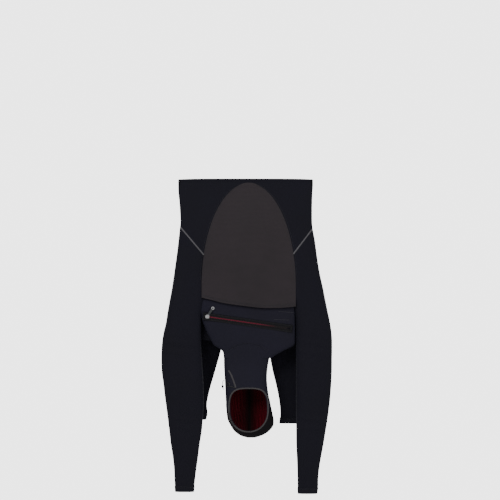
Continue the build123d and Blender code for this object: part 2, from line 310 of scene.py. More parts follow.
# The lining's band is painted shade: the pile is darkened to near black within about 36 mm of x = 9, down the
# middle of the deep hood where shade falls
PLUSH = Finish(
    "red_plush", (0.060, 0.0004, 0.0045), Pattern.PILE, 1.2, 0.5, 0.85, 0.05, (0.9, 0.1, 0.2), 0.1,
    mottle=0.6, band=(9, -717, 90, 36, 2, (0.0030, 0.0002, 0.0004)),
)
WOVEN = Finish("zip_tape", (0.0035, 0.0035, 0.0045), Pattern.WEAVE, 0.9, 0.1, 0.8, specular=0.15)
TEETH = Finish(
    "zip_teeth", (0.13, 0.0025, 0.018), Pattern.MOULDED, 2.0, 0.05, 0.5, specular=0.3,
    fade=(40, 95, (0.006, 0.003, 0.004)), band=(-126, -419, -8.3, 1.5, 2.1, (0.006, 0.003, 0.004)),
)
METAL = Finish("plated_metal", (0.80, 0.80, 0.81), Pattern.BRUSHED, 0.6, 0.02, 0.2, metal=1.0, mottle=0.08)
DARK_METAL = Finish("dark_metal", (0.03, 0.03, 0.032), Pattern.BRUSHED, 0.6, 0.02, 0.4, metal=1.0, mottle=0.1)
CROWN = Finish("crown_smoothskin", (0.0050, 0.0040, 0.0050), Pattern.MESH, 2.2, 0.22, 0.8, specular=0.08)
WEBBING = Finish("pull_webbing", (0.030, 0.032, 0.034), Pattern.WEAVE, 1.0, 0.2, 0.8, specular=0.2)
ELASTIC = Finish("elastic_cord", (0.006, 0.006, 0.007), Pattern.BRAID, 0.8, 0.15, 0.75, specular=0.15)
PLASTIC = Finish("lock_plastic", (0.004, 0.004, 0.005), Pattern.MOULDED, 1.2, 0.04, 0.45, specular=0.35)
FLOOR = Finish(
    "studio_floor", (0.90, 0.90, 0.90), Pattern.MOULDED, 40.0, 0.01, 0.9, specular=0.1, mottle=0.01
)


# ---------------------------------------------------------------------------- mesh tools
def curve_at(rows: Sequence[Sequence[float]], z: float) -> list[float]:
    """Read smooth values between rows ordered by falling first value.

    Args:
        rows: each row is z and then its values.
        z: where to read.

    Returns:
        The values at z, on a smooth curve through the rows.
    """
    if z >= rows[0][0]:
        return list(rows[0][1:])
    if z <= rows[-1][0]:
        return list(rows[-1][1:])
    i = next(k for k in range(len(rows) - 1) if rows[k + 1][0] <= z)
    a, b = rows[i], rows[i + 1]
    before, after = rows[max(i - 1, 0)], rows[min(i + 2, len(rows) - 1)]
    span = b[0] - a[0]
    t = (z - a[0]) / span
    out = []
    for k in range(1, len(a)):
        ma = (b[k] - before[k]) / (b[0] - before[0]) * span
        mb = (after[k] - a[k]) / (after[0] - a[0]) * span
        out.append(
            (2 * t**3 - 3 * t**2 + 1) * a[k] + (t**3 - 2 * t**2 + t) * ma
            + (3 * t**2 - 2 * t**3) * b[k] + (t**3 - t**2) * mb
        )
    return out


def steps(start: float, stop: float, gap: float) -> list[float]:
    """Return evenly spaced values from start to stop, both included.

    Args:
        start: first value.
        stop: last value.
        gap: about how far apart.

    Returns:
        The values.
    """
    count = max(2, round(abs(stop - start) / gap))
    return [start + (stop - start) * i / count for i in range(count + 1)]


def turns(count: int) -> list[float]:
    """Return angles evenly round a circle."""
    return [2 * math.pi * k / count for k in range(count)]


def signed(value: float, power: float) -> float:
    """Return a power that keeps the sign."""
    return math.copysign(abs(value) ** power, value)


def drape(p: Vector) -> float:
    """Return how far soft foam stands proud of its cut shape at a place, in millimetres.

    Args:
        p: the place, in millimetres.

    Returns:
        The height of the gentle folds.
    """
    long = noise.noise(Vector((p.x * 0.016, p.y * 0.010, p.z * 0.0045)))
    fine = noise.noise(Vector((p.x * 0.035 + 9, p.y * 0.03, p.z * 0.022)))
    return 1.5 * long + 0.5 * fine


def creases(z: float, at: float, reach: float, size: float, phase: float = 0.0) -> float:
    """Return soft crosswise creases about a bend.

    Args:
        z: height.
        at: height of the bend.
        reach: half length of the creased stretch.
        size: height of the creases.
        phase: shifts the creases.

    Returns:
        The crease height.
    """
    near = max(0.0, 1 - ((z - at) / reach) ** 2)
    return size * near * near * math.sin((z - at) * 0.21 + phase)


@dataclass
class Piece:
    """A mesh being made, with its finish and its place in the frame."""

    name: str
    finish: Finish
    slot: str
    points: list[Vector] = field(default_factory=list)
    faces: list[tuple[int, ...]] = field(default_factory=list)
    solid: bpy.types.Object | None = None

    def grid(self, rows: Sequence[Sequence[Vector]], ring: bool = False, cap: bool = False) -> "Piece":
        """Join rows of points, in millimetres, into a skin.

        Args:
            rows: rows of equal length.
            ring: whether each row closes on itself.
            cap: whether the last row is closed with a fan.

        Returns:
            This piece.
        """
        base, wide = len(self.points), len(rows[0])
        for row in rows:
            self.points.extend(Vector(p) * MM for p in row)
        for i in range(len(rows) - 1):
            for k in range(wide if ring else wide - 1):
                a, b = base + i * wide + k, base + i * wide + (k + 1) % wide
                self.faces.append((a, b, b + wide, a + wide))
        if cap:
            rim = [base + (len(rows) - 1) * wide + k for k in range(wide)]
            self.points.append(sum((self.points[k] for k in rim), Vector()) / wide)
            self.faces += [(rim[k], rim[(k + 1) % wide], len(self.points) - 1) for k in range(wide)]
        return self

    def tube(self, path: Sequence[Vector], radius: float, sides: int = 10, closed: bool = False,
             flat: float = 1.0) -> "Piece":
        """Run a round or flattened cord along a path in millimetres.

        Args:
            path: the path's points.
            radius: the cord's radius.
            sides: points round the cord.
            closed: whether the path closes on itself.
            flat: thickness along Y as a share of the width.

        Returns:
            This piece.
        """
        rows, count = [], len(path)
        for i, p in enumerate(path):
            ahead = path[(i + 1) % count] if closed or i + 1 < count else p
            behind = path[i - 1] if closed or i else p
            along = (ahead - behind).normalized()
            side = along.cross(Vector((0, 1, 0)))
            side = side.normalized() if side.length > 1e-4 else Vector((1, 0, 0))
            out = side.cross(along)
            rows.append([
                p + side * radius * math.cos(a) + out * radius * flat * math.sin(a) for a in turns(sides)
            ])
        if closed:
            rows.append(rows[0])
        return self.grid(rows, ring=True)

    def open_up(self, level: Callable[[Vector], tuple[float, Vector]]) -> "Piece":
        """Leave an opening in the skin, with its rim drawn onto the opening's edge.

        Args:
            level: gives, for a place in millimetres, how far out of the opening it lies (below 1 is inside)
                and the place on the opening's edge nearest to it.

        Returns:
            This piece.
        """
        seen = [level(p / MM) for p in self.points]
        self.faces = [f for f in self.faces if any(seen[k][0] >= 1 for k in f)]
        for k in {k for f in self.faces for k in f}:
            if seen[k][0] < 1:
                self.points[k] = seen[k][1] * MM
        return self

    def make(self, thick: float = 0.0, edge: float = 0.0, behind: Vector | None = None) -> "Piece":
        """Turn the points into an object, thickened inwards and with softened edges.

        Args:
            thick: sheet thickness in millimetres.
            edge: how much the sheet's edges are rounded, in millimetres.
            behind: a place on the sheet's inner side, in millimetres, if not its middle.

        Returns:
            This piece.
        """
        mesh = bpy.data.meshes.new(self.name)
        mesh.from_pydata(self.points, [], self.faces)
        work = bmesh.new()
        work.from_mesh(mesh)
        bmesh.ops.remove_doubles(work, verts=work.verts, dist=2e-5)
        bmesh.ops.recalc_face_normals(work, faces=work.faces)
        inner = behind * MM if behind else sum(self.points, Vector()) / len(self.points)
        if sum(f.normal.dot(f.calc_center_median() - inner) * f.calc_area() for f in work.faces) < 0:
            bmesh.ops.reverse_faces(work, faces=work.faces)
        work.to_mesh(mesh)
        work.free()
        self.solid = bpy.data.objects.new(self.name, mesh)
        bpy.context.scene.collection.objects.link(self.solid)
        if thick:
            sheet = self.solid.modifiers.new("sheet", "SOLIDIFY")
            sheet.thickness, sheet.offset = thick * MM, -1.0
        if edge:
            soft = self.solid.modifiers.new("edge", "BEVEL")
            soft.width, soft.segments, soft.limit_method = edge * MM, 2, "ANGLE"
            soft.angle_limit = math.radians(55)
        self.settle()
        return self.dress()

    def settle(self) -> None:
        """Apply the object's modifiers to its mesh."""
        seen = self.solid.evaluated_get(bpy.context.evaluated_depsgraph_get())
        made = bpy.data.meshes.new_from_object(seen)
        self.solid.modifiers.clear()
        self.solid.data = made

    def dress(self) -> "Piece":
        """Give the object its finish and smooth shading.

        Returns:
            This piece.
        """
        mesh = self.solid.data
        mesh.materials.clear()
        mesh.materials.append(self.finish.material())
        mesh.shade_smooth()
        mesh.set_sharp_from_angle(angle=math.radians(48))
        return self

    def place(self, body: str, *nodes: str, onto: str = "", start: Sequence[float] = (),
              end: Sequence[float] = ()) -> "Piece":
        """Put the piece on its body, or, if it crosses a joint, leave it unattached with its place baked in,
        and stand it in for its nodes.

        Args:
            body: the body it rides on.
            *nodes: the CAD nodes it replaces.
            onto: the body past the joint, if the piece crosses one.
            start: where it would leave the first body, in millimetres; not used.
            end: where it would belong to the second body; not used.

        Returns:
            This piece.
        """
        if nodes:
            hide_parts(*nodes)
        if onto:
            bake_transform(self.solid)
        else:
            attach(self.solid, body)
        LOG.info("%s: %d faces on %s", self.name, len(self.solid.data.polygons), onto or body)
        return self


def stitching(name: str, finish: Finish, slot: str, paths: Iterable[Sequence[Vector]], gap: float = 4.2,
              size: float = 0.42) -> Piece:
    """Sew short stitches along paths.

    Args:
        name: the piece's name.
        finish: the thread's finish.
        slot: kept on the piece, not used.
        paths: lines of points in millimetres.
        gap: from one stitch to the next.
        size: the thread's radius.

    Returns:
        The sewn piece, made.
    """
    piece = Piece(name, finish, slot)
    for path in paths:
        carry = 0.0
        for a, b in zip(path, path[1:]):
            long = (b - a).length
            if long < 1e-6:
                continue
            way = (b - a) / long
            while carry < long:
                p = a + way * carry
                piece.tube([p - way * gap * 0.31, p, p + way * gap * 0.31], size, 6)
                carry += gap
            carry -= long
    return piece.make()


# ---------------------------------------------------------------------------- shapes
@dataclass
class Trunk:
    """The flattened body tube, whose two layers lie together where it is folded over the bar."""

    rows: Sequence[tuple[float, float, float, float, float]]
    power: float = 3.2
    sign: float = 1.0

    def read(self, v: float) -> tuple[float, float, float, float]:
        """Return middle x, half width, middle y and half depth at a distance along the suit.

        Args:
            v: height below the bar, or distance over the fold if above it.

        Returns:
            The four values in millimetres.
        """
        left, right, mid, deep = curve_at(self.rows, v)
        return (left + right) / 2, (right - left) / 2, mid, deep / 2

    def point(self, x: float, v: float, out: float, inset: float = 0.0) -> Vector:
        """Return a place on one of the two layers.

        Args:
            x: across the suit.
            v: height, or distance over the fold.
            out: 1 for the outer layer, -1 for the layer against the bar.
            inset: how far inside the surface.

        Returns:
            The place in millimetres.
        """
        cx, hx, mid, deep = self.read(v)
        s = min(1.0, abs((x - cx) / hx))
        high = (deep - inset) * (1 - s**self.power) ** (1 / self.power)
        if v <= 0:
            p = Vector((x, self.sign * mid - self.sign * out * high, v))
            return p - Vector((0, self.sign * out * drape(p) * min(1.0, -v / 90) * (1 - s**6), 0))
        radius, turn = abs(mid) + out * high, v / abs(mid)
        return Vector((x, -self.sign * radius * math.cos(turn), radius * math.sin(turn)))

    def across(self, v: float, start: float, stop: float, count: int) -> list[float]:
        """Return places across the suit, closer together where it rounds over at the sides.

        Args:
            v: height.
            start: first x.
            stop: last x.
            count: how many gaps between them.

        Returns:
            The x values.
        """
        cx, hx, _, _ = self.read(v)
        a, b = (math.acos(signed(max(-1.0, min(1.0, (x - cx) / hx)), self.power / 2)) for x in (start, stop))
        return [cx + hx * signed(math.cos(a + (b - a) * i / count), 2 / self.power) for i in range(count + 1)]

    def sides(self, v: float) -> tuple[float, float]:
        """Return the left and right outer edges at a height."""
        cx, hx, _, _ = self.read(v)
        return cx - hx, cx + hx


@dataclass
class Limb:
    """A soft tube through stations of height, left, right, front and back."""

    stations: Sequence[Station]
    power: float = 2.5
    bends: Sequence[tuple[float, float, float]] = ()
    soft: float = 1.0

    def point(self, turn: float, z: float, inset: float = 0.0) -> Vector:
        """Return a place on the tube.

        Args:
            turn: angle round it.
            z: height.
            inset: how far inside the surface.

        Returns:
            The place in millimetres.
        """
        left, right, front, back = curve_at(self.stations, z)
        c, s = math.cos(turn), math.sin(turn)
        x = (left + right) / 2 + ((right - left) / 2 - inset) * signed(c, 2 / self.power)
        y = (front + back) / 2 + ((back - front) / 2 - inset) * signed(s, 2 / self.power)
        p = Vector((x, y, z))
        wrinkle = sum(creases(z, *bend, phase=2 * c) for bend in self.bends) * abs(s)
        lift = self.soft * drape(p) * abs(s) + wrinkle
        return p + Vector((c, s, 0)).normalized() * lift

    def front(self, x: float, z: float, inset: float = 0.0) -> Vector:
        """Return the place on the tube's front straight behind an x and a height.

        Args:
            x: across.
            z: height.
            inset: how far inside the surface.

        Returns:
            The place in millimetres.
        """
        left, right, _, _ = curve_at(self.stations, z)
        s = max(-1.0, min(1.0, (x - (left + right) / 2) / ((right - left) / 2 - inset)))
        return self.point(-math.acos(signed(s, self.power / 2)), z, inset)

    def skin(self, heights: Sequence[float], around: int = 96, inset: float = 0.0) -> list[list[Vector]]:
        """Return rows of points round the tube.

        Args:
            heights: one row at each.
            around: points round a row.
            inset: how far inside the surface.

        Returns:
            The rows.
        """
        return [[self.point(turn, z, inset) for turn in turns(around)] for z in heights]

    def band(self, top: float, end: float, wall: float = 4.5, around: int = 96) -> list[list[Vector]]:
        """Return rows for a turned hem: up the outside, round the rim and back inside.

        Args:
            top: where the hem band starts.
            end: the rim's height.
            wall: thickness of the sleeve.
            around: points round a row.

        Returns:
            The rows, the last the same as the first.
        """
        line = [
            (top, 1.0), (top, -0.5), (top - 1.0, -0.9), (end + 2.4, -0.8), (end + 0.9, -0.2),
            (end + 0.1, 1.2), (end, 2.3), (end + 0.4, wall - 0.8), (end + 1.6, wall + 0.2),
            (top, wall + 0.3), (top, 1.0),
        ]
        return [[self.point(turn, max(z, end), inset) for turn in turns(around)] for z, inset in line]


SUIT = Trunk([
    (60, -219.5, 213.5, -19.5, 9), (0, -219.5, 213.5, -19.5, 9), (-21, -218.8, 212, -20, 12),
    (-59, -215, 210.6, -22, 20), (-117, -212, 210.6, -26, 30), (-136, -214, 212.2, -27, 33),
    (-175, -218.3, 219.5, -28.5, 38), (-213, -222.7, 224.6, -30, 42), (-251, -228, 230, -31, 45),
    (-290, -233.4, 237, -32, 47), (-328, -239.2, 245.6, -32.5, 49), (-366, -246, 253, -33, 50),
    (-405, -253, 261, -33.5, 51), (-443, -259.2, 268.8, -34, 51), (-482, -268.5, 274, -36, 49),
    (-520, -272.3, 274.6, -37, 46),
])
HIPS = Trunk([
    (60, -217, 213, -19.5, 9), (0, -217, 213, -19.5, 9), (-30, -213, 209, -21.5, 15),
    (-60, -210, 207, -25, 25), (-90, -209, 206, -28, 33), (-130, -208, 206, -31, 39),
    (-200, -207, 207, -31.5, 40),
], sign=-1.0)


@dataclass
class Arch:
    """The arched smoothskin panel's outline."""

    x: float = 7.0
    top: float = 9.0
    half: float = 151.0
    rise: float = 328.0
    flap: Sequence[tuple[float, float]] = (
        (-146, -357), (-118, -364), (-69, -376), (0, -385.5), (50, -391), (100, -391),
        (139, -388.5), (158, -386),
    )

    def half_at(self, v: float) -> float:
        """Return the panel's half width at a height."""
        rise = (v - self.top + self.rise) / self.rise
        return self.half * math.sqrt(max(0.0, 1 - max(0.0, rise) ** 2))

    def sides(self, v: float) -> tuple[float, float]:
        """Return the panel's left and right edges at a height."""
        half = self.half_at(v)
        return self.x - half, self.x + half

    def hem(self, x: float) -> float:
        """Return the height of the panel's loose lower edge at an x."""
        return curve_at([(-a, b) for a, b in self.flap], -x)[0]


ARCH = Arch()


class Side(Enum):
    """The wearer's side as the suit hangs, seen from the front."""

    LEFT = "left"
    RIGHT = "right"


# ---------------------------------------------------------------------------- torso
@dataclass
class Torso:
    """The panels of the body between the fold and the shoulders."""

    wall: float = 4.5
    fold_end: float = 49.0
    flap_top: float = -345.0
    back_end: float = -470.0
    back_curve: float = 34.0
    seam_drop: dict[Side, tuple[float, float]] = field(
        default_factory=lambda: {Side.LEFT: (-131.0, -221.0), Side.RIGHT: (-137.0, -218.0)}
    )
    behind: Vector = field(default_factory=lambda: Vector((0, 10, -250)))

    def seam_x(self, side: Side, v: float) -> float:
        """Return how far out the underarm seam lies at a height.

        Args:
            side: which arm.
            v: height.

        Returns:
            The seam's x.
        """
        high, low = self.seam_drop[side]
        share = max(0.0, min(1.0, (v - high) / (low - high)))
        start = SUIT.sides(high)[0 if side is Side.LEFT else 1]
        stop = ARCH.sides(low)[0 if side is Side.LEFT else 1]
        return start + (stop - start) * share

    def chest(self) -> Piece:
        """Build the arched chest panel with its loose lower edge.

        Returns:
            The panel.
        """
        rows = []
        count = 72
        heights = [ARCH.top - ARCH.rise * (1 - math.cos(math.pi / 2 * i / 44)) for i in range(1, 44)]
        heights = [v for v in heights if v > -300] + steps(-303, self.flap_top, 6)
        for v in heights:
            left, right = ARCH.sides(v)
            rows.append([SUIT.point(x, v, 1) for x in SUIT.across(v, left + 0.4, right - 0.4, count)])
        left, right = ARCH.sides(self.flap_top)
        for share in steps(0.08, 1.0, 0.08):
            row = []
            for x in SUIT.across(self.flap_top, left + 0.4, right - 0.4, count):
                v = self.flap_top + (ARCH.hem(x) - self.flap_top) * share
                row.append(SUIT.point(x, v, 1) + Vector((0, -1.6 * share**2, 0)))
            rows.append(row)
        return Piece("chest_panel_skin", SKIN, "smoothskin").grid(rows).make(self.wall, 1.1, self.behind)

    def belly(self) -> Piece:
        """Build the panel round the arch, which runs up and over the bar.

        Returns:
            The panel.
        """
        piece = Piece("belly_panel_skin", JERSEY, "jersey_neoprene")
        count = 40
        over = []
        for v in steps(self.fold_end, ARCH.top, 3.0):
            left, right = SUIT.sides(v)
            xs = SUIT.across(v, left, ARCH.x, count) + SUIT.across(v, ARCH.x, right, count)[1:]
            over.append([SUIT.point(x, v, 1) for x in xs])
        piece.grid(over)
        for side in Side:
            low = self.seam_drop[side][1]
            rows = []
            arc = [ARCH.top - ARCH.rise * (1 - math.cos(math.pi / 2 * i / 60)) for i in range(0, 60)]
            for v in [*[v for v in arc if v > low], low]:
                hand = 0 if side is Side.LEFT else 1
                outer, inner = self.seam_x(side, v), ARCH.sides(v)[hand]
                if v > self.seam_drop[side][0]:
                    outer = SUIT.sides(v)[hand]
                rows.append([SUIT.point(x, v, 1) for x in SUIT.across(v, outer, inner, count)])
            piece.grid(rows)
        return piece.make(self.wall, 1.1, self.behind)

    def liner(self) -> Piece:
        """Build the inner layer where it lies on the bar.

        Returns:
            The layer.
        """
        rows = []
        for v in steps(self.fold_end, 0, 3.0):
            left, right = SUIT.sides(v)
            rows.append([SUIT.point(x, v, -1) for x in SUIT.across(v, left, right, 80)])
        return Piece("hip_fold_liner_skin", JERSEY_DIM, "jersey_neoprene").grid(rows).make(
            self.wall - 0.2, 0.9, Vector((0, 0, 400)))

    def back(self) -> Piece:
        """Build the back panel, down to the curved seam across the shoulder blades.

        Returns:
            The panel.
        """
        rows = []
        for share in steps(0.0, 1.0, 0.011):
            row = []
            base = share * self.back_end
            left, right = SUIT.sides(base)
            for x in SUIT.across(base, left, right, 96):
                s = (x - (left + right) / 2) / ((right - left) / 2)
                row.append(SUIT.point(x, base - self.back_curve * share**3 * (1 - s * s), -1))
            rows.append(row)
        return Piece("back_panel_skin", JERSEY, "jersey_neoprene").grid(rows).make(
            self.wall, 1.0, Vector((0, -400, -250)))

    def underarm_tape(self, side: Side) -> Piece:
        """Build the pale tape over one underarm seam.

        Args:
            side: which arm.

        Returns:
            The tape.
        """
        high, low = self.seam_drop[side]
        path = []
        for v in steps(high - 2, low - 1, 2.5):
            path.append(SUIT.point(self.seam_x(side, v), v, 1) + Vector((0, -0.2, 0)))
        name = f"{side.value}_underarm_tape_strip"
        return Piece(name, TAPE, "seam_tape").tube(path, 2.3, 12, flat=0.4).make()

    def threads(self) -> Piece:
        """Sew the stitch lines beside the arch and along its loose lower edge.

        Returns:
            The sewn piece.
        """
        lines = []
        for out in (-4.0, 4.0):
            for hand in (0, 1):
                arc = [1 - math.cos(math.pi / 2 * i / 90) for i in range(3, 88)]
                heights = [ARCH.top - 6 - (ARCH.rise - 6) * share for share in arc]
                line = []
                for v in heights:
                    if v < self.flap_top:
                        break
                    x = ARCH.sides(v)[hand] + (out if hand else -out)
                    line.append(SUIT.point(x, v, 1) + Vector((0, -0.15, 0)))
                lines.append(line)
        for gap in (5.0, 8.5):
            line = []
            for x in SUIT.across(self.flap_top, -139, 152, 60):
                line.append(SUIT.point(x, ARCH.hem(x) + gap, 1) + Vector((0, -1.55, 0)))
            lines.append(line)
        return stitching("chest_stitching", THREAD, "jersey_neoprene", lines)

    def build(self) -> None:
        """Make and place every torso piece."""
        self.chest().place("torso", "chest_panel")
        self.belly().place("torso", "belly_panel")
        self.liner().place("torso", "hip_fold_liner")
        self.back().place("torso", "back_panel")
        for side in Side:
            self.underarm_tape(side).place("torso", f"{side.value}_underarm_tape")
        self.threads().place("torso")


# ---------------------------------------------------------------------------- sleeves
def turn_hem(limb: Limb, name: str, body: str, end: float, width: float) -> None:
    """Turn the hem at a limb's loose end.

    Args:
        limb: the sleeve or leg.
        name: side and part, such as left_wrist.
        body: the body that the hem rides on.
        end: the rim's height.
        width: the hem's width.
    """
    band = Piece(f"{name}_hem_band", JERSEY, "jersey_neoprene")
    band.grid(limb.band(end + width, end), ring=True).make().place(body, f"{name}_hem")


def stitch_hem(limb: Limb, name: str, body: str, end: float, width: float, count: int) -> None:
    """Sew the two stitch lines round a hem.

    Args:
        limb: the sleeve or leg.
        name: side and part, such as left_wrist.
        body: the body that the stitches ride on.
        end: the rim's height.
        width: the hem's width.
        count: points round a stitch line.
    """
    around = [*turns(count), 2 * math.pi]
    rings = [[limb.point(turn, end + up, -1.1) for turn in around] for up in (width - 3.0, width - 6.0)]
    stitching(f"{name}_stitching", THREAD, "jersey_neoprene", rings, 3.6, 0.36).place(body)


@dataclass
class Sleeve:
    """One side panel with its sleeve, creased at the shoulder and at the elbow."""

    side: Side
    stations: Sequence[Station]
    hem_end: float
    wall: float = 4.5
    shoulder: float = -511.0
    elbow: float = -754.0
    split: float = -716.0
    hem: float = 20.0

    @property
    def limb(self) -> Limb:
        """The sleeve's tube."""
        return Limb(self.stations, 2.6, [(self.elbow, 60.0, 1.0), (self.shoulder, 70.0, 0.8)])

    def build(self) -> None:
        """Make and place the upper sleeve, the forearm, the hem and their stitches."""
        name, limb = self.side.value, self.limb
        upper = Piece(f"{name}_sleeve_upper_skin", JERSEY, "jersey_neoprene")
        upper.grid(limb.skin(steps(-112, self.split, 5.0)), ring=True).make(self.wall)
        upper.place("torso", f"{name}_side_panel", f"{name}_upper_sleeve", onto=f"{name}_upper_arm",
                    start=(0, -39, self.shoulder + 28), end=(0, -39, self.shoulder - 36))
        fore = Piece(f"{name}_forearm_skin", JERSEY, "jersey_neoprene")
        fore.grid(limb.skin(steps(self.split, self.hem_end + self.hem - 3, 5.0)), ring=True).make(self.wall)
        fore.place(f"{name}_upper_arm", f"{name}_forearm", onto=f"{name}_forearm",
                   start=(0, -40, self.elbow + 30), end=(0, -40, self.elbow - 30))
        turn_hem(limb, f"{name}_wrist", f"{name}_forearm", self.hem_end, self.hem)
        stitch_hem(limb, f"{name}_wrist", f"{name}_forearm", self.hem_end, self.hem, 120)


LEFT_SLEEVE: Sequence[Station] = (
    (-100, -210, -120, -35, -14), (-136, -213, -119, -39.5, -12), (-175, -217.5, -118, -44, -11),
    (-213, -222, -117, -48, -10.5), (-251, -227.4, -117, -51, -10), (-290, -232.8, -118, -53, -10),
    (-328, -238.6, -120, -55.5, -10), (-350, -242.5, -126, -57, -10), (-372, -246.5, -136, -58.5, -10),
    (-405, -253, -143, -60, -10), (-443, -259, -146, -61.5, -10), (-482, -268, -146, -62.5, -10.5),
    (-520, -272, -145, -63, -13), (-558, -273, -142.5, -63.5, -15), (-597, -271.4, -140, -64, -16),
    (-635, -266.2, -138, -64, -16.5), (-674, -261.8, -137, -64, -17), (-712, -256.6, -137.5, -63, -17.5),
    (-750, -251.8, -140, -62, -18), (-789, -247, -143.5, -61.5, -19), (-827, -242.6, -149.8, -60, -20),
    (-866, -236.5, -154.6, -58, -21), (-904, -232.3, -160, -56, -22), (-942, -230.7, -164.8, -54, -25),
    (-962, -229.4, -167, -53.5, -26), (-981, -228.5, -168.5, -53, -26),
)
RIGHT_SLEEVE: Sequence[Station] = (
    (-100, 112, 209.5, -35, -14), (-136, 115, 212, -39.5, -12), (-175, 117, 218.6, -44, -11),
    (-213, 118, 223.8, -48, -10.5), (-251, 120, 229.2, -51, -10), (-290, 123, 236.4, -53, -10),
    (-328, 128, 245, -55.5, -10), (-350, 134, 249.5, -57, -10), (-372, 144, 254, -58.5, -10),
    (-405, 155, 261, -60, -10), (-443, 158, 268.6, -61.5, -10), (-482, 158.5, 273.8, -62.5, -10.5),
    (-520, 158.5, 274.5, -63, -13), (-558, 158.5, 274, -63.5, -15), (-597, 158.5, 273.6, -64, -16),
    (-635, 158.5, 271.7, -64, -16.5), (-674, 158.5, 268.8, -64, -17), (-712, 158.5, 264.6, -63, -17.5),
    (-750, 158.8, 259.5, -62, -18), (-789, 159, 253.1, -61.5, -19), (-827, 159.4, 247, -60, -20),
    (-866, 161, 239.7, -58, -21), (-904, 162.6, 233.3, -56, -22), (-942, 163.5, 229.8, -54, -25),
    (-962, 163.7, 229.6, -53.5, -26), (-987, 164.5, 226.4, -53, -26),
)


# ---------------------------------------------------------------------------- seat and legs
@dataclass
class Leg:
    """One leg, creased at the knee, with its printed knee pad and ankle hem."""

    side: Side
    stations: Sequence[Station]
    wall: float = 4.5
    hip: float = -119.0
    knee: float = -440.0
    split: float = -402.0
    end: float = -754.0
    hem: float = 20.0
    pad_half: tuple[float, float] = (50.0, 66.0)
    pad_at: tuple[float, float] = (148.0, -530.0)

    @property
    def limb(self) -> Limb:
        """The leg's tube."""
        return Limb(self.stations, 2.7, [(self.knee, 60.0, 0.9)])

    def pad(self) -> Piece:
        """Build the raised knee pad on the leg's rear face.

        Returns:
            The pad.
        """
        limb, name = self.limb, self.side.value
        sign = -1 if self.side is Side.LEFT else 1
        rows = []
        for j in range(0, 31):
            reach = j / 30
            row = []
            for turn in turns(72):
                x = sign * self.pad_at[0] + self.pad_half[0] * reach * signed(math.cos(turn), 0.62)
                z = self.pad_at[1] + self.pad_half[1] * reach * signed(math.sin(turn), 0.62)
                left, right, _, _ = curve_at(self.stations, z)
                s = max(-1.0, min(1.0, (x - (left + right) / 2) / ((right - left) / 2)))
                p = limb.point(math.acos(signed(s, limb.power / 2)), z)
                ridge = 0.7 * max(0.0, math.cos((z - self.pad_at[1]) * 0.26)) * (1 - reach**4)
                row.append(p + Vector((0, 1.5 * (1 - reach**8) + ridge, 0)))
            rows.append(row)
        return Piece(f"{name}_knee_pad_print", KNEE, "knee_rubber").grid(rows, ring=True).make(
            1.2, 0.4, Vector((sign * self.pad_at[0], -100, self.pad_at[1])))

    def build(self) -> None:
        """Make and place the thigh, shin, pad, hem and stitches."""
        name, limb = self.side.value, self.limb
        thigh = Piece(f"{name}_thigh_skin", JERSEY, "jersey_neoprene")
        thigh.grid(limb.skin(steps(-94, self.split, 5.0)), ring=True).make(self.wall)
        thigh.place("seat", f"{name}_thigh", onto=f"{name}_thigh", start=(0, 31, self.hip + 4),
                    end=(0, 31, self.hip - 56))
        shin = Piece(f"{name}_shin_skin", JERSEY, "jersey_neoprene")
        shin.grid(limb.skin(steps(self.split, self.end + self.hem - 3, 5.0)), ring=True).make(self.wall)
        shin.place(f"{name}_thigh", f"{name}_shin", onto=f"{name}_shin", start=(0, 34, self.knee + 28),
                   end=(0, 34, self.knee - 20))
        turn_hem(limb, f"{name}_ankle", f"{name}_shin", self.end, self.hem)
        self.pad().place(f"{name}_shin", f"{name}_knee_pad")
        stitch_hem(limb, f"{name}_ankle", f"{name}_shin", self.end, self.hem, 160)


RIGHT_LEG: Sequence[Station] = (
    (-90, 4, 203, 13, 46), (-117, 7, 205.5, 12, 48), (-160, 12, 206, 12, 49.5), (-200, 18, 207, 12, 51),
    (-320, 38, 213, 13, 53), (-440, 60, 221, 14, 54), (-500, 69, 226, 14.5, 53), (-540, 74, 230, 15, 52),
    (-558, 77, 231.5, 15, 51.5), (-597, 84.5, 234.5, 15.5, 50.5), (-635, 94, 236, 16.5, 49.5),
    (-674, 102.5, 237, 17.5, 48), (-712, 108, 237, 18, 47), (-740, 109, 235, 18, 46.5),
    (-766, 106, 231, 18, 46),
)
LEFT_LEG: Sequence[Station] = (
    (-90, -203, -4, 13, 46), (-117, -205.5, -7, 12, 48), (-160, -206, -12, 12, 49.5),
    (-200, -207, -18, 12, 51), (-320, -213, -38, 13, 53), (-440, -221, -62, 14, 54),
    (-500, -226, -76, 14.5, 53), (-539, -229, -85, 15, 52),
    (-578, -233, -96, 15, 51), (-616, -236, -107, 16, 50), (-654, -237, -118, 17, 48.5),
    (-693, -238, -126.7, 18, 47.5), (-712, -237, -128, 18, 47), (-731, -235, -126, 18, 46.5),
    (-754, -232, -131, 18, 46),
)


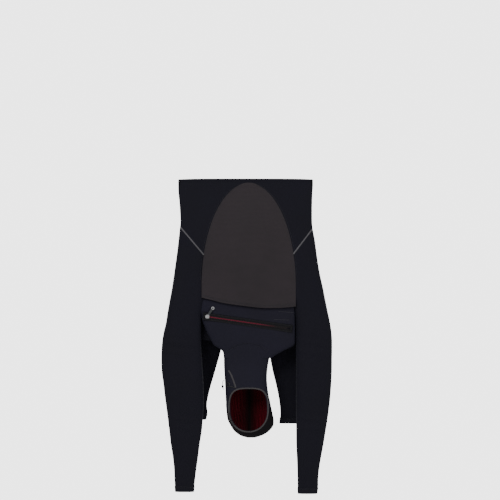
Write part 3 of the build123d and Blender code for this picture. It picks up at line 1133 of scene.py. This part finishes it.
@dataclass
class Seat:
    """The lower body behind the bar, joined to the torso over the fold."""

    wall: float = 4.5
    fold_end: float = 12.0
    crotch: float = -104.0

    def sheet(self, name: str, out: int, finish: Finish) -> Piece:
        """Build one layer of the lower body, notched between the legs.

        Args:
            name: the piece's name.
            out: 1 for the outer layer, -1 for the layer against the bar.
            finish: its finish.

        Returns:
            The layer.
        """
        rows = []
        for v in steps(self.fold_end, 0, 2.0)[:-1] + steps(0, self.crotch, 4.0):
            left, right = HIPS.sides(v)
            rows.append([HIPS.point(x, v, out) for x in HIPS.across(v, left, right, 96)])
        for share in steps(0.1, 1.0, 0.1):
            left, right = HIPS.sides(self.crotch)
            row = []
            for x in HIPS.across(self.crotch, left, right, 96):
                notch = 26 - 20 * math.exp(-((x / 26) ** 2))
                row.append(HIPS.point(x, self.crotch - notch * share, out))
            rows.append(row)
        inner = Vector((0, 10 if out > 0 else 400, -90))
        return Piece(name, finish, "jersey_neoprene").grid(rows).make(self.wall, 1.0, inner)

    def gusset(self) -> Piece:
        """Build the diamond gusset at the crotch.

        Returns:
            The gusset.
        """
        rows = []
        for j in range(13):
            t = -1 + j / 6
            row = []
            for k in range(13):
                u = -1 + k / 6
                wide = 34 * (1 - 0.55 * abs(t))
                row.append(Vector((u * wide, 31 + 14 * t, -114 - 5 * (1 - u * u) * (1 - t * t))))
            rows.append(row)
        gusset = Piece("crotch_gusset_skin", JERSEY_DIM, "jersey_neoprene")
        return gusset.grid(rows).make(3.5, 0.8, Vector((0, 31, 0)))

    def build(self) -> None:
        """Make and place the seat's pieces."""
        start, end = (0, 19, 12), (0, 24, -14)
        outer = self.sheet("lower_front_skin", 1, JERSEY)
        outer.place("torso", "lower_front_panel", onto="seat", start=start, end=end)
        inner = self.sheet("seat_skin", -1, JERSEY)
        inner.place("torso", "seat_panel", onto="seat", start=start, end=end)
        self.gusset().place("seat", "crotch_gusset")


# ---------------------------------------------------------------------------- yoke, zip, neck
@dataclass
class Yoke:
    """The recessed bib with the entry zip, down to the shoulders."""

    wall: float = 4.5
    slope: float = -8.3
    zip_x: float = -126.0
    zip_z: float = -419.0
    zip_length: float = 262.0
    limb: Limb = field(default_factory=lambda: Limb((
        (-330, -138, 146, -48, -12), (-360, -146, 152, -49, -11), (-398, -150, 156, -49.6, -10.5),
        (-440, -139, 157, -49.8, -10), (-472, -126, 157, -50, -10), (-500, -111, 156.5, -50, -10),
        (-508, -107, 155, -50, -10), (-515, -99, 147, -50, -10), (-522, -87, 133, -50, -10),
        (-529, -78, 118, -50, -10), (-537, -74.5, 103, -50, -10), (-545, -73.5, 90, -50, -10),
        (-552, -73, 80, -50, -10),
    ), 6.0, soft=0.35))

    def line(self, step: float, rise: float, lift: float) -> Vector:
        """Return a place beside the zip.

        Args:
            step: distance along it from its shut end.
            rise: distance above it.
            lift: how far in front of the bib.

        Returns:
            The place in millimetres.
        """
        turn = math.radians(self.slope)
        x = self.zip_x + step * math.cos(turn) - rise * math.sin(turn)
        z = self.zip_z + step * math.sin(turn) + rise * math.cos(turn)
        return Vector((x, -50 - lift, z))

    def build(self) -> None:
        """Make and place the bib, the yoke, their seams and the zip's trim."""
        limb = self.limb
        heights = steps(-330, -500, 5.0) + steps(-502, -552, 1.6)
        yoke = Piece("yoke_skin", JERSEY_FRONT, "jersey_neoprene")
        yoke.grid(limb.skin(heights, 160), ring=True).make(self.wall)
        shoulders = [f"{side.value}_shoulder_{part}" for part in ("closure", "gusset") for side in Side]
        yoke.place("torso", "yoke_panel", "upper_back_panel", *shoulders)
        rows = []
        for rise in steps(86, 12.6, 2.5):
            row = []
            for step in steps(-22, self.zip_length + 22, 4.0):
                p = self.line(step, rise, 0.0)
                edge = limb.front(p.x, p.z)
                row.append(Vector((p.x, edge.y - 1.1, p.z)))
            rows.append(row)
        strip = Piece("bib_strip_skin", JERSEY_FRONT, "jersey_neoprene").grid(rows)
        strip.make(2.0, 0.6, Vector((0, 100, -400))).place("torso", "bib_upper_panel", "inner_zip_flap")
        run = steps(-14, self.zip_length + 12, 2.0)
        lines = [[self.line(step, rise, 1.15) for step in run] for rise in (8.5, 10.6, -8.5, -10.6)]
        stitching("zip_stitching", THREAD, "zip_tape", lines, 3.4, 0.32).place("torso")
        pale = [
            [Vector((x, limb.front(x, -428).y - 1.4, -428.5 - 0.04 * (x - 94))) for x in steps(90, 136, 2.0)],
            [Vector((x, limb.front(x, -404).y - 1.4, -402 - 0.10 * (x - 104))) for x in steps(104, 150, 2.0)],
        ]
        stitching("bib_corner_stitching", TAPE, "seam_tape", pale, 3.4, 0.5).place("torso")


@dataclass
class Hood:
    """The neck and hood, upside down, with the bound face opening, ribbed lining and drawcord."""

    wall: float = 4.5
    face_x: float = 6.5
    face_z: float = -717.0
    face_half: tuple[float, float] = (61.5, 68.5)
    square: tuple[float, float] = (0.62, 0.95)
    neck_arc: tuple[float, float, float] = (4.5, -615.6, 108.6)
    end: float = -806.5
    lining_inset: float = 7.2
    outer: Limb = field(default_factory=lambda: Limb((
        (-500, -70, 74, -52.2, -8.6), (-535, -73.2, 77, -52.2, -8.6), (-552, -72.6, 73.5, -52.4, -8.7),
        (-578, -72.3, 68.5, -54.5, -7), (-616, -70, 65.5, -63, -3), (-654, -68, 68.5, -74, 3),
        (-693, -66, 75, -81.5, 8), (-731, -62.5, 83, -83.5, 9.5), (-750, -59, 86.5, -82, 9),
        (-769, -49.5, 84.5, -78, 6), (-786, -38, 71, -71, -2), (-797, -24, 55, -63, -12),
        (-803, -12, 40, -55, -22), (-806.5, 2, 27, -48, -30),
    ), 3.0, soft=0.8))

    def ring(self, grow: float, count: int) -> list[tuple[float, float]]:
        """Return points round the face opening.

        Args:
            grow: how far outside its edge.
            count: how many points.

        Returns:
            Pairs of x and z in millimetres.
        """
        out = []
        for turn in turns(count):
            c, t = math.cos(turn), math.sin(turn)
            power = self.square[0 if t > 0 else 1]
            out.append((self.face_x + (self.face_half[0] + grow) * signed(c, power),
                        self.face_z + (self.face_half[1] + grow) * signed(t, power)))
        return out

    def edge_of(self, grow: float, inset: float) -> Callable[[Vector], tuple[float, Vector]]:
        """Return the test that leaves the face opening in a skin.

        Args:
            grow: how far outside the opening's edge the skin ends.
            inset: how far inside the hood's surface the skin lies.

        Returns:
            The test.
        """
        half_x, half_z = self.face_half[0] + grow, self.face_half[1] + grow

        def level(p: Vector) -> tuple[float, Vector]:
            """Measure one place against the opening.

            Args:
                p: the place, in millimetres.

            Returns:
                How far out it lies, and the nearest place on the opening's edge.
            """
            dx, dz = p.x - self.face_x, p.z - self.face_z
            power = 2 / self.square[0 if dz > 0 else 1]
            if p.y > -36:
                return 2.0, p
            out = (abs(dx / half_x) ** power + abs(dz / half_z) ** power) ** (1 / power)
            if out >= 1 or out < 1e-6:
                return out, p
            return out, self.outer.front(self.face_x + dx / out, self.face_z + dz / out, inset)

        return level

    def shell(self) -> Piece:
        """Build the neck and hood in one skin, from the curved neck seam to the crown.

        Returns:
            The skin.
        """
        limb, around = self.outer, 160
        rows = []
        x0, z0, radius = self.neck_arc
        for share in [i / 120 for i in range(121)]:
            row = []
            for turn in turns(around):
                x = limb.point(turn, -520).x
                top = z0 + math.sqrt(max(0.0, radius**2 - (x - x0) ** 2))
                row.append(limb.point(turn, top + (self.end - top) * share))
            rows.append(row)
        skin = Piece("neck_and_hood_skin", JERSEY_FRONT, "jersey_neoprene").grid(rows, ring=True, cap=True)
        return skin.open_up(self.edge_of(0.0, 0.0)).make(self.wall)

    def crown(self) -> Piece:
        """Build the smoothskin crown panel that wraps the lower half of the hood.

        Returns:
            The panel.
        """
        rows = []
        around = 160
        for share in [i / 70 for i in range(71)]:
            row = []
            for turn in turns(around):
                lean = 0.5 - 0.5 * math.sin(turn)
                top = -664 - 78 * lean + 26 * max(0.0, math.cos(turn)) * (1 - lean)
                row.append(self.outer.point(turn, top + (self.end - 0.4 - top) * share, -0.9))
            rows.append(row)
        skin = Piece("hood_crown_skin", CROWN, "smoothskin").grid(rows, ring=True, cap=True)
        return skin.open_up(self.edge_of(0.6, -0.9)).make(2.0)

    def lining(self) -> Piece:
        """Build the red lining with its upright ribs.

        Returns:
            The lining.
        """
        rows = []
        around = 288
        for z in steps(-604, -798, 3.5):
            row = []
            for turn in turns(around):
                crush = noise.noise(Vector((turn * 4, z * 0.02, 3)))
                rib = 1.3 * math.cos(36 * turn + 0.6 * math.sin(z * 0.03)) + crush
                row.append(self.outer.point(turn, z, self.lining_inset + rib))
            rows.append(row)
        skin = Piece("hood_lining_plush", PLUSH, "red_plush").grid(rows, ring=True, cap=True)
        return skin.open_up(self.edge_of(-1.5, self.lining_inset)).make(1.2)

    def binding(self) -> Piece:
        """Build the pale bound edge of the face opening.

        Returns:
            The binding.
        """
        path = []
        for x, z in self.ring(1.0, 180):
            edge = self.outer.front(x, z)
            path.append(Vector((x, edge.y + 1.0, z)))
        return Piece("face_binding_edge", BINDING, "face_binding").tube(path, 2.5, 14, closed=True).make()

    def drawcord(self) -> bpy.types.Object:
        """Build the elastic drawcord loop as a smooth spline.

        Returns:
            The cord.
        """
        route = [
            (-71.1, -40, -624), (-76.5, -40, -624), (-76.5, -40, -638), (-76.5, -40, -652),
            (-71.1, -40, -652),
        ]
        curve = bpy.data.curves.new("drawcord_elastic", "CURVE")
        curve.dimensions = "3D"
        curve.bevel_depth, curve.bevel_resolution, curve.use_fill_caps = 1.0 * MM, 4, True
        spline = curve.splines.new("NURBS")
        spline.points.add(len(route) - 1)
        for point, place in zip(spline.points, route):
            point.co = (*(v * MM for v in place), 1.0)
        spline.order_u, spline.use_endpoint_u, spline.resolution_u = 3, True, 12
        curve.materials.append(ELASTIC.material())
        cord = bpy.data.objects.new("drawcord_elastic", curve)
        bpy.context.scene.collection.objects.link(cord)
        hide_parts("drawcord_loop")
        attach(cord, "hood")
        return cord

    def piping(self) -> Piece:
        """Build the pale curved piping that runs from the neck to the opening.

        Returns:
            The piping.
        """
        path = []
        for i in range(25):
            t = i / 24
            x = -58 + 24 * t**0.8
            z = -592 - 55 * t**1.15
            path.append(self.outer.front(x, z) + Vector((0, -0.2, 0)))
        return Piece("drawcord_piping", PIPING, "seam_tape").tube(path, 2.9, 10, flat=0.5).make()

    def eyelet(self) -> Piece:
        """Build the moulded eyelet that the drawcord goes into.

        Returns:
            The eyelet.
        """
        piece = Piece("drawcord_eyelet", PLASTIC, "lock_plastic")
        path = [self.outer.front(-60 + 5.6 * math.cos(a), -636 + 6.4 * math.sin(a)) for a in turns(32)]
        piece.tube([p + Vector((0, -0.6, 0)) for p in path], 1.9, 10, closed=True)
        proud = Vector((0, -0.9, 0))
        run = [self.outer.front(x, -641 - 0.22 * (x + 55)) + proud for x in steps(-55, -33, 1.5)]
        return piece.tube(run, 1.6, 10).make()

    def build(self) -> None:
        """Make and place the neck, hood, crown, lining, binding, the drawcord's piping and eyelet, and the
        neck stitches.
        """
        joint = {"onto": "hood", "start": (0, -31, -518), "end": (0, -31, -566)}
        self.shell().place("torso", "neck_front_panel", "neck_back_panel", "hood_face_panel", **joint)
        self.crown().place("hood", "hood_crown_panel")
        self.lining().place("hood", "hood_lining_left", "hood_lining_right")
        self.binding().place("hood", "face_trim")
        self.piping().place("hood", "drawcord_patch")
        self.eyelet().place("hood")
        x0, z0, radius = self.neck_arc
        lines = []
        for out in (2.5, -2.5):
            line = []
            for x in steps(-62, 70, 2.0):
                z = z0 + math.sqrt((radius + out) ** 2 - (x - x0) ** 2)
                lift = 51.6 if out < 0 else 50.3
                line.append(Vector((x, -lift - 0.1, z)))
            lines.append(line)
        stitching("neck_stitching", THREAD, "seam_tape", lines, 3.6, 0.36).place("torso", "neck_seam_tape")


# ---------------------------------------------------------------------------- hardware and studio
def dress_nodes() -> None:
    """Give each carried-over solid part its finish."""
    finishes = {
        "zip_tape": WOVEN, "zip_teeth": TEETH, "zip_stop": DARK_METAL, "zip_slider": METAL,
        "zip_pull_hook": METAL, "zip_pull_eyelet": METAL, "zip_pull_tab": WEBBING, "cord_lock": PLASTIC,
    }
    for name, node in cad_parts.items():
        for start, finish in finishes.items():
            if name.startswith(start):
                node.data.materials.clear()
                node.data.materials.append(finish.material())
                LOG.info("%s: dressed in %s", name, finish.name)


@dataclass
class Studio:
    """The plain pale floor, the soft lights, the white surround and the camera."""

    floor: float = -1.36
    half: float = 3.4
    lens: float = 200.0
    view_width: float = 1.6
    aim: tuple[float, float] = (0.0112, -0.206)
    surround: float = 0.4
    seen: float = 3.5
    middle: tuple[float, float, float] = (0.0, 0.0, -0.5)

    def ground(self) -> None:
        """Build the floor."""
        edge = self.half / MM
        rows = [[Vector((x, y, self.floor / MM)) for y in (-edge, edge)] for x in (-edge, edge)]
        floor = Piece("studio_floor", FLOOR, "").grid(rows).make(behind=Vector((0, 0, 2 * self.floor / MM)))

    def around(self) -> None:
        """Set the white surround, softer as a light than as it is seen."""
        world = bpy.data.worlds.new("studio")
        world.use_nodes = True
        tree = world.node_tree
        tree.nodes.clear()
        seen, soft = (tree.nodes.new("ShaderNodeBackground") for _ in range(2))
        seen.inputs[0].default_value = soft.inputs[0].default_value = (1, 1, 1, 1)
        seen.inputs[1].default_value, soft.inputs[1].default_value = self.seen, self.surround
        path, mix = tree.nodes.new("ShaderNodeLightPath"), tree.nodes.new("ShaderNodeMixShader")
        tree.links.new(path.outputs["Is Camera Ray"], mix.inputs[0])
        tree.links.new(soft.outputs[0], mix.inputs[1])
        tree.links.new(seen.outputs[0], mix.inputs[2])
        tree.links.new(mix.outputs[0], tree.nodes.new("ShaderNodeOutputWorld").inputs[0])
        bpy.context.scene.world = world

    def light(self, name: str, place: Sequence[float], size: float, power: float) -> None:
        """Add one soft lamp.

        Args:
            name: the lamp's name.
            place: where it stands, in metres.
            size: its width.
            power: its power in watts.
        """
        lamp = bpy.data.lights.new(name, "AREA")
        lamp.shape, lamp.size, lamp.energy = "SQUARE", size, power
        holder = bpy.data.objects.new(name, lamp)
        bpy.context.scene.collection.objects.link(holder)
        holder.location = place
        aim = Vector(self.middle) - Vector(place)
        holder.rotation_euler = aim.to_track_quat("-Z", "Y").to_euler()

    def camera(self) -> None:
        """Set the camera level in front of the suit."""
        lens = bpy.data.cameras.new("camera")
        lens.lens, lens.sensor_width = self.lens, 36.0
        holder = bpy.data.objects.new("camera", lens)
        bpy.context.scene.collection.objects.link(holder)
        away = self.view_width * self.lens / lens.sensor_width
        holder.location = (self.aim[0], -0.05 - away, self.aim[1])
        holder.rotation_euler = (math.pi / 2, 0, 0)
        bpy.context.scene.camera = holder

    def build(self) -> None:
        """Set up the studio."""
        self.camera()
        self.ground()
        self.around()
        self.light("key", (-2.2, -3.4, 2.2), 1.8, 140)
        self.light("fill", (2.8, -2.8, 1.0), 1.8, 70)
        self.light("back_left", (-2.8, 2.8, 1.6), 1.8, 60)
        self.light("back_right", (2.4, 3.0, 1.2), 1.8, 60)


def main() -> None:
    """Build every sub-assembly in order."""
    logging.basicConfig(level=logging.INFO, format="%(message)s")
    Studio().build()
    hood = Hood()
    hood.drawcord()
    Torso().build()
    Sleeve(Side.LEFT, LEFT_SLEEVE, -981.0).build()
    Sleeve(Side.RIGHT, RIGHT_SLEEVE, -987.0).build()
    Seat().build()
    Leg(Side.LEFT, LEFT_LEG).build()
    Leg(Side.RIGHT, RIGHT_LEG, end=-766.0).build()
    Yoke().build()
    hood.build()
    dress_nodes()


if __name__ == "__main__":
    main()
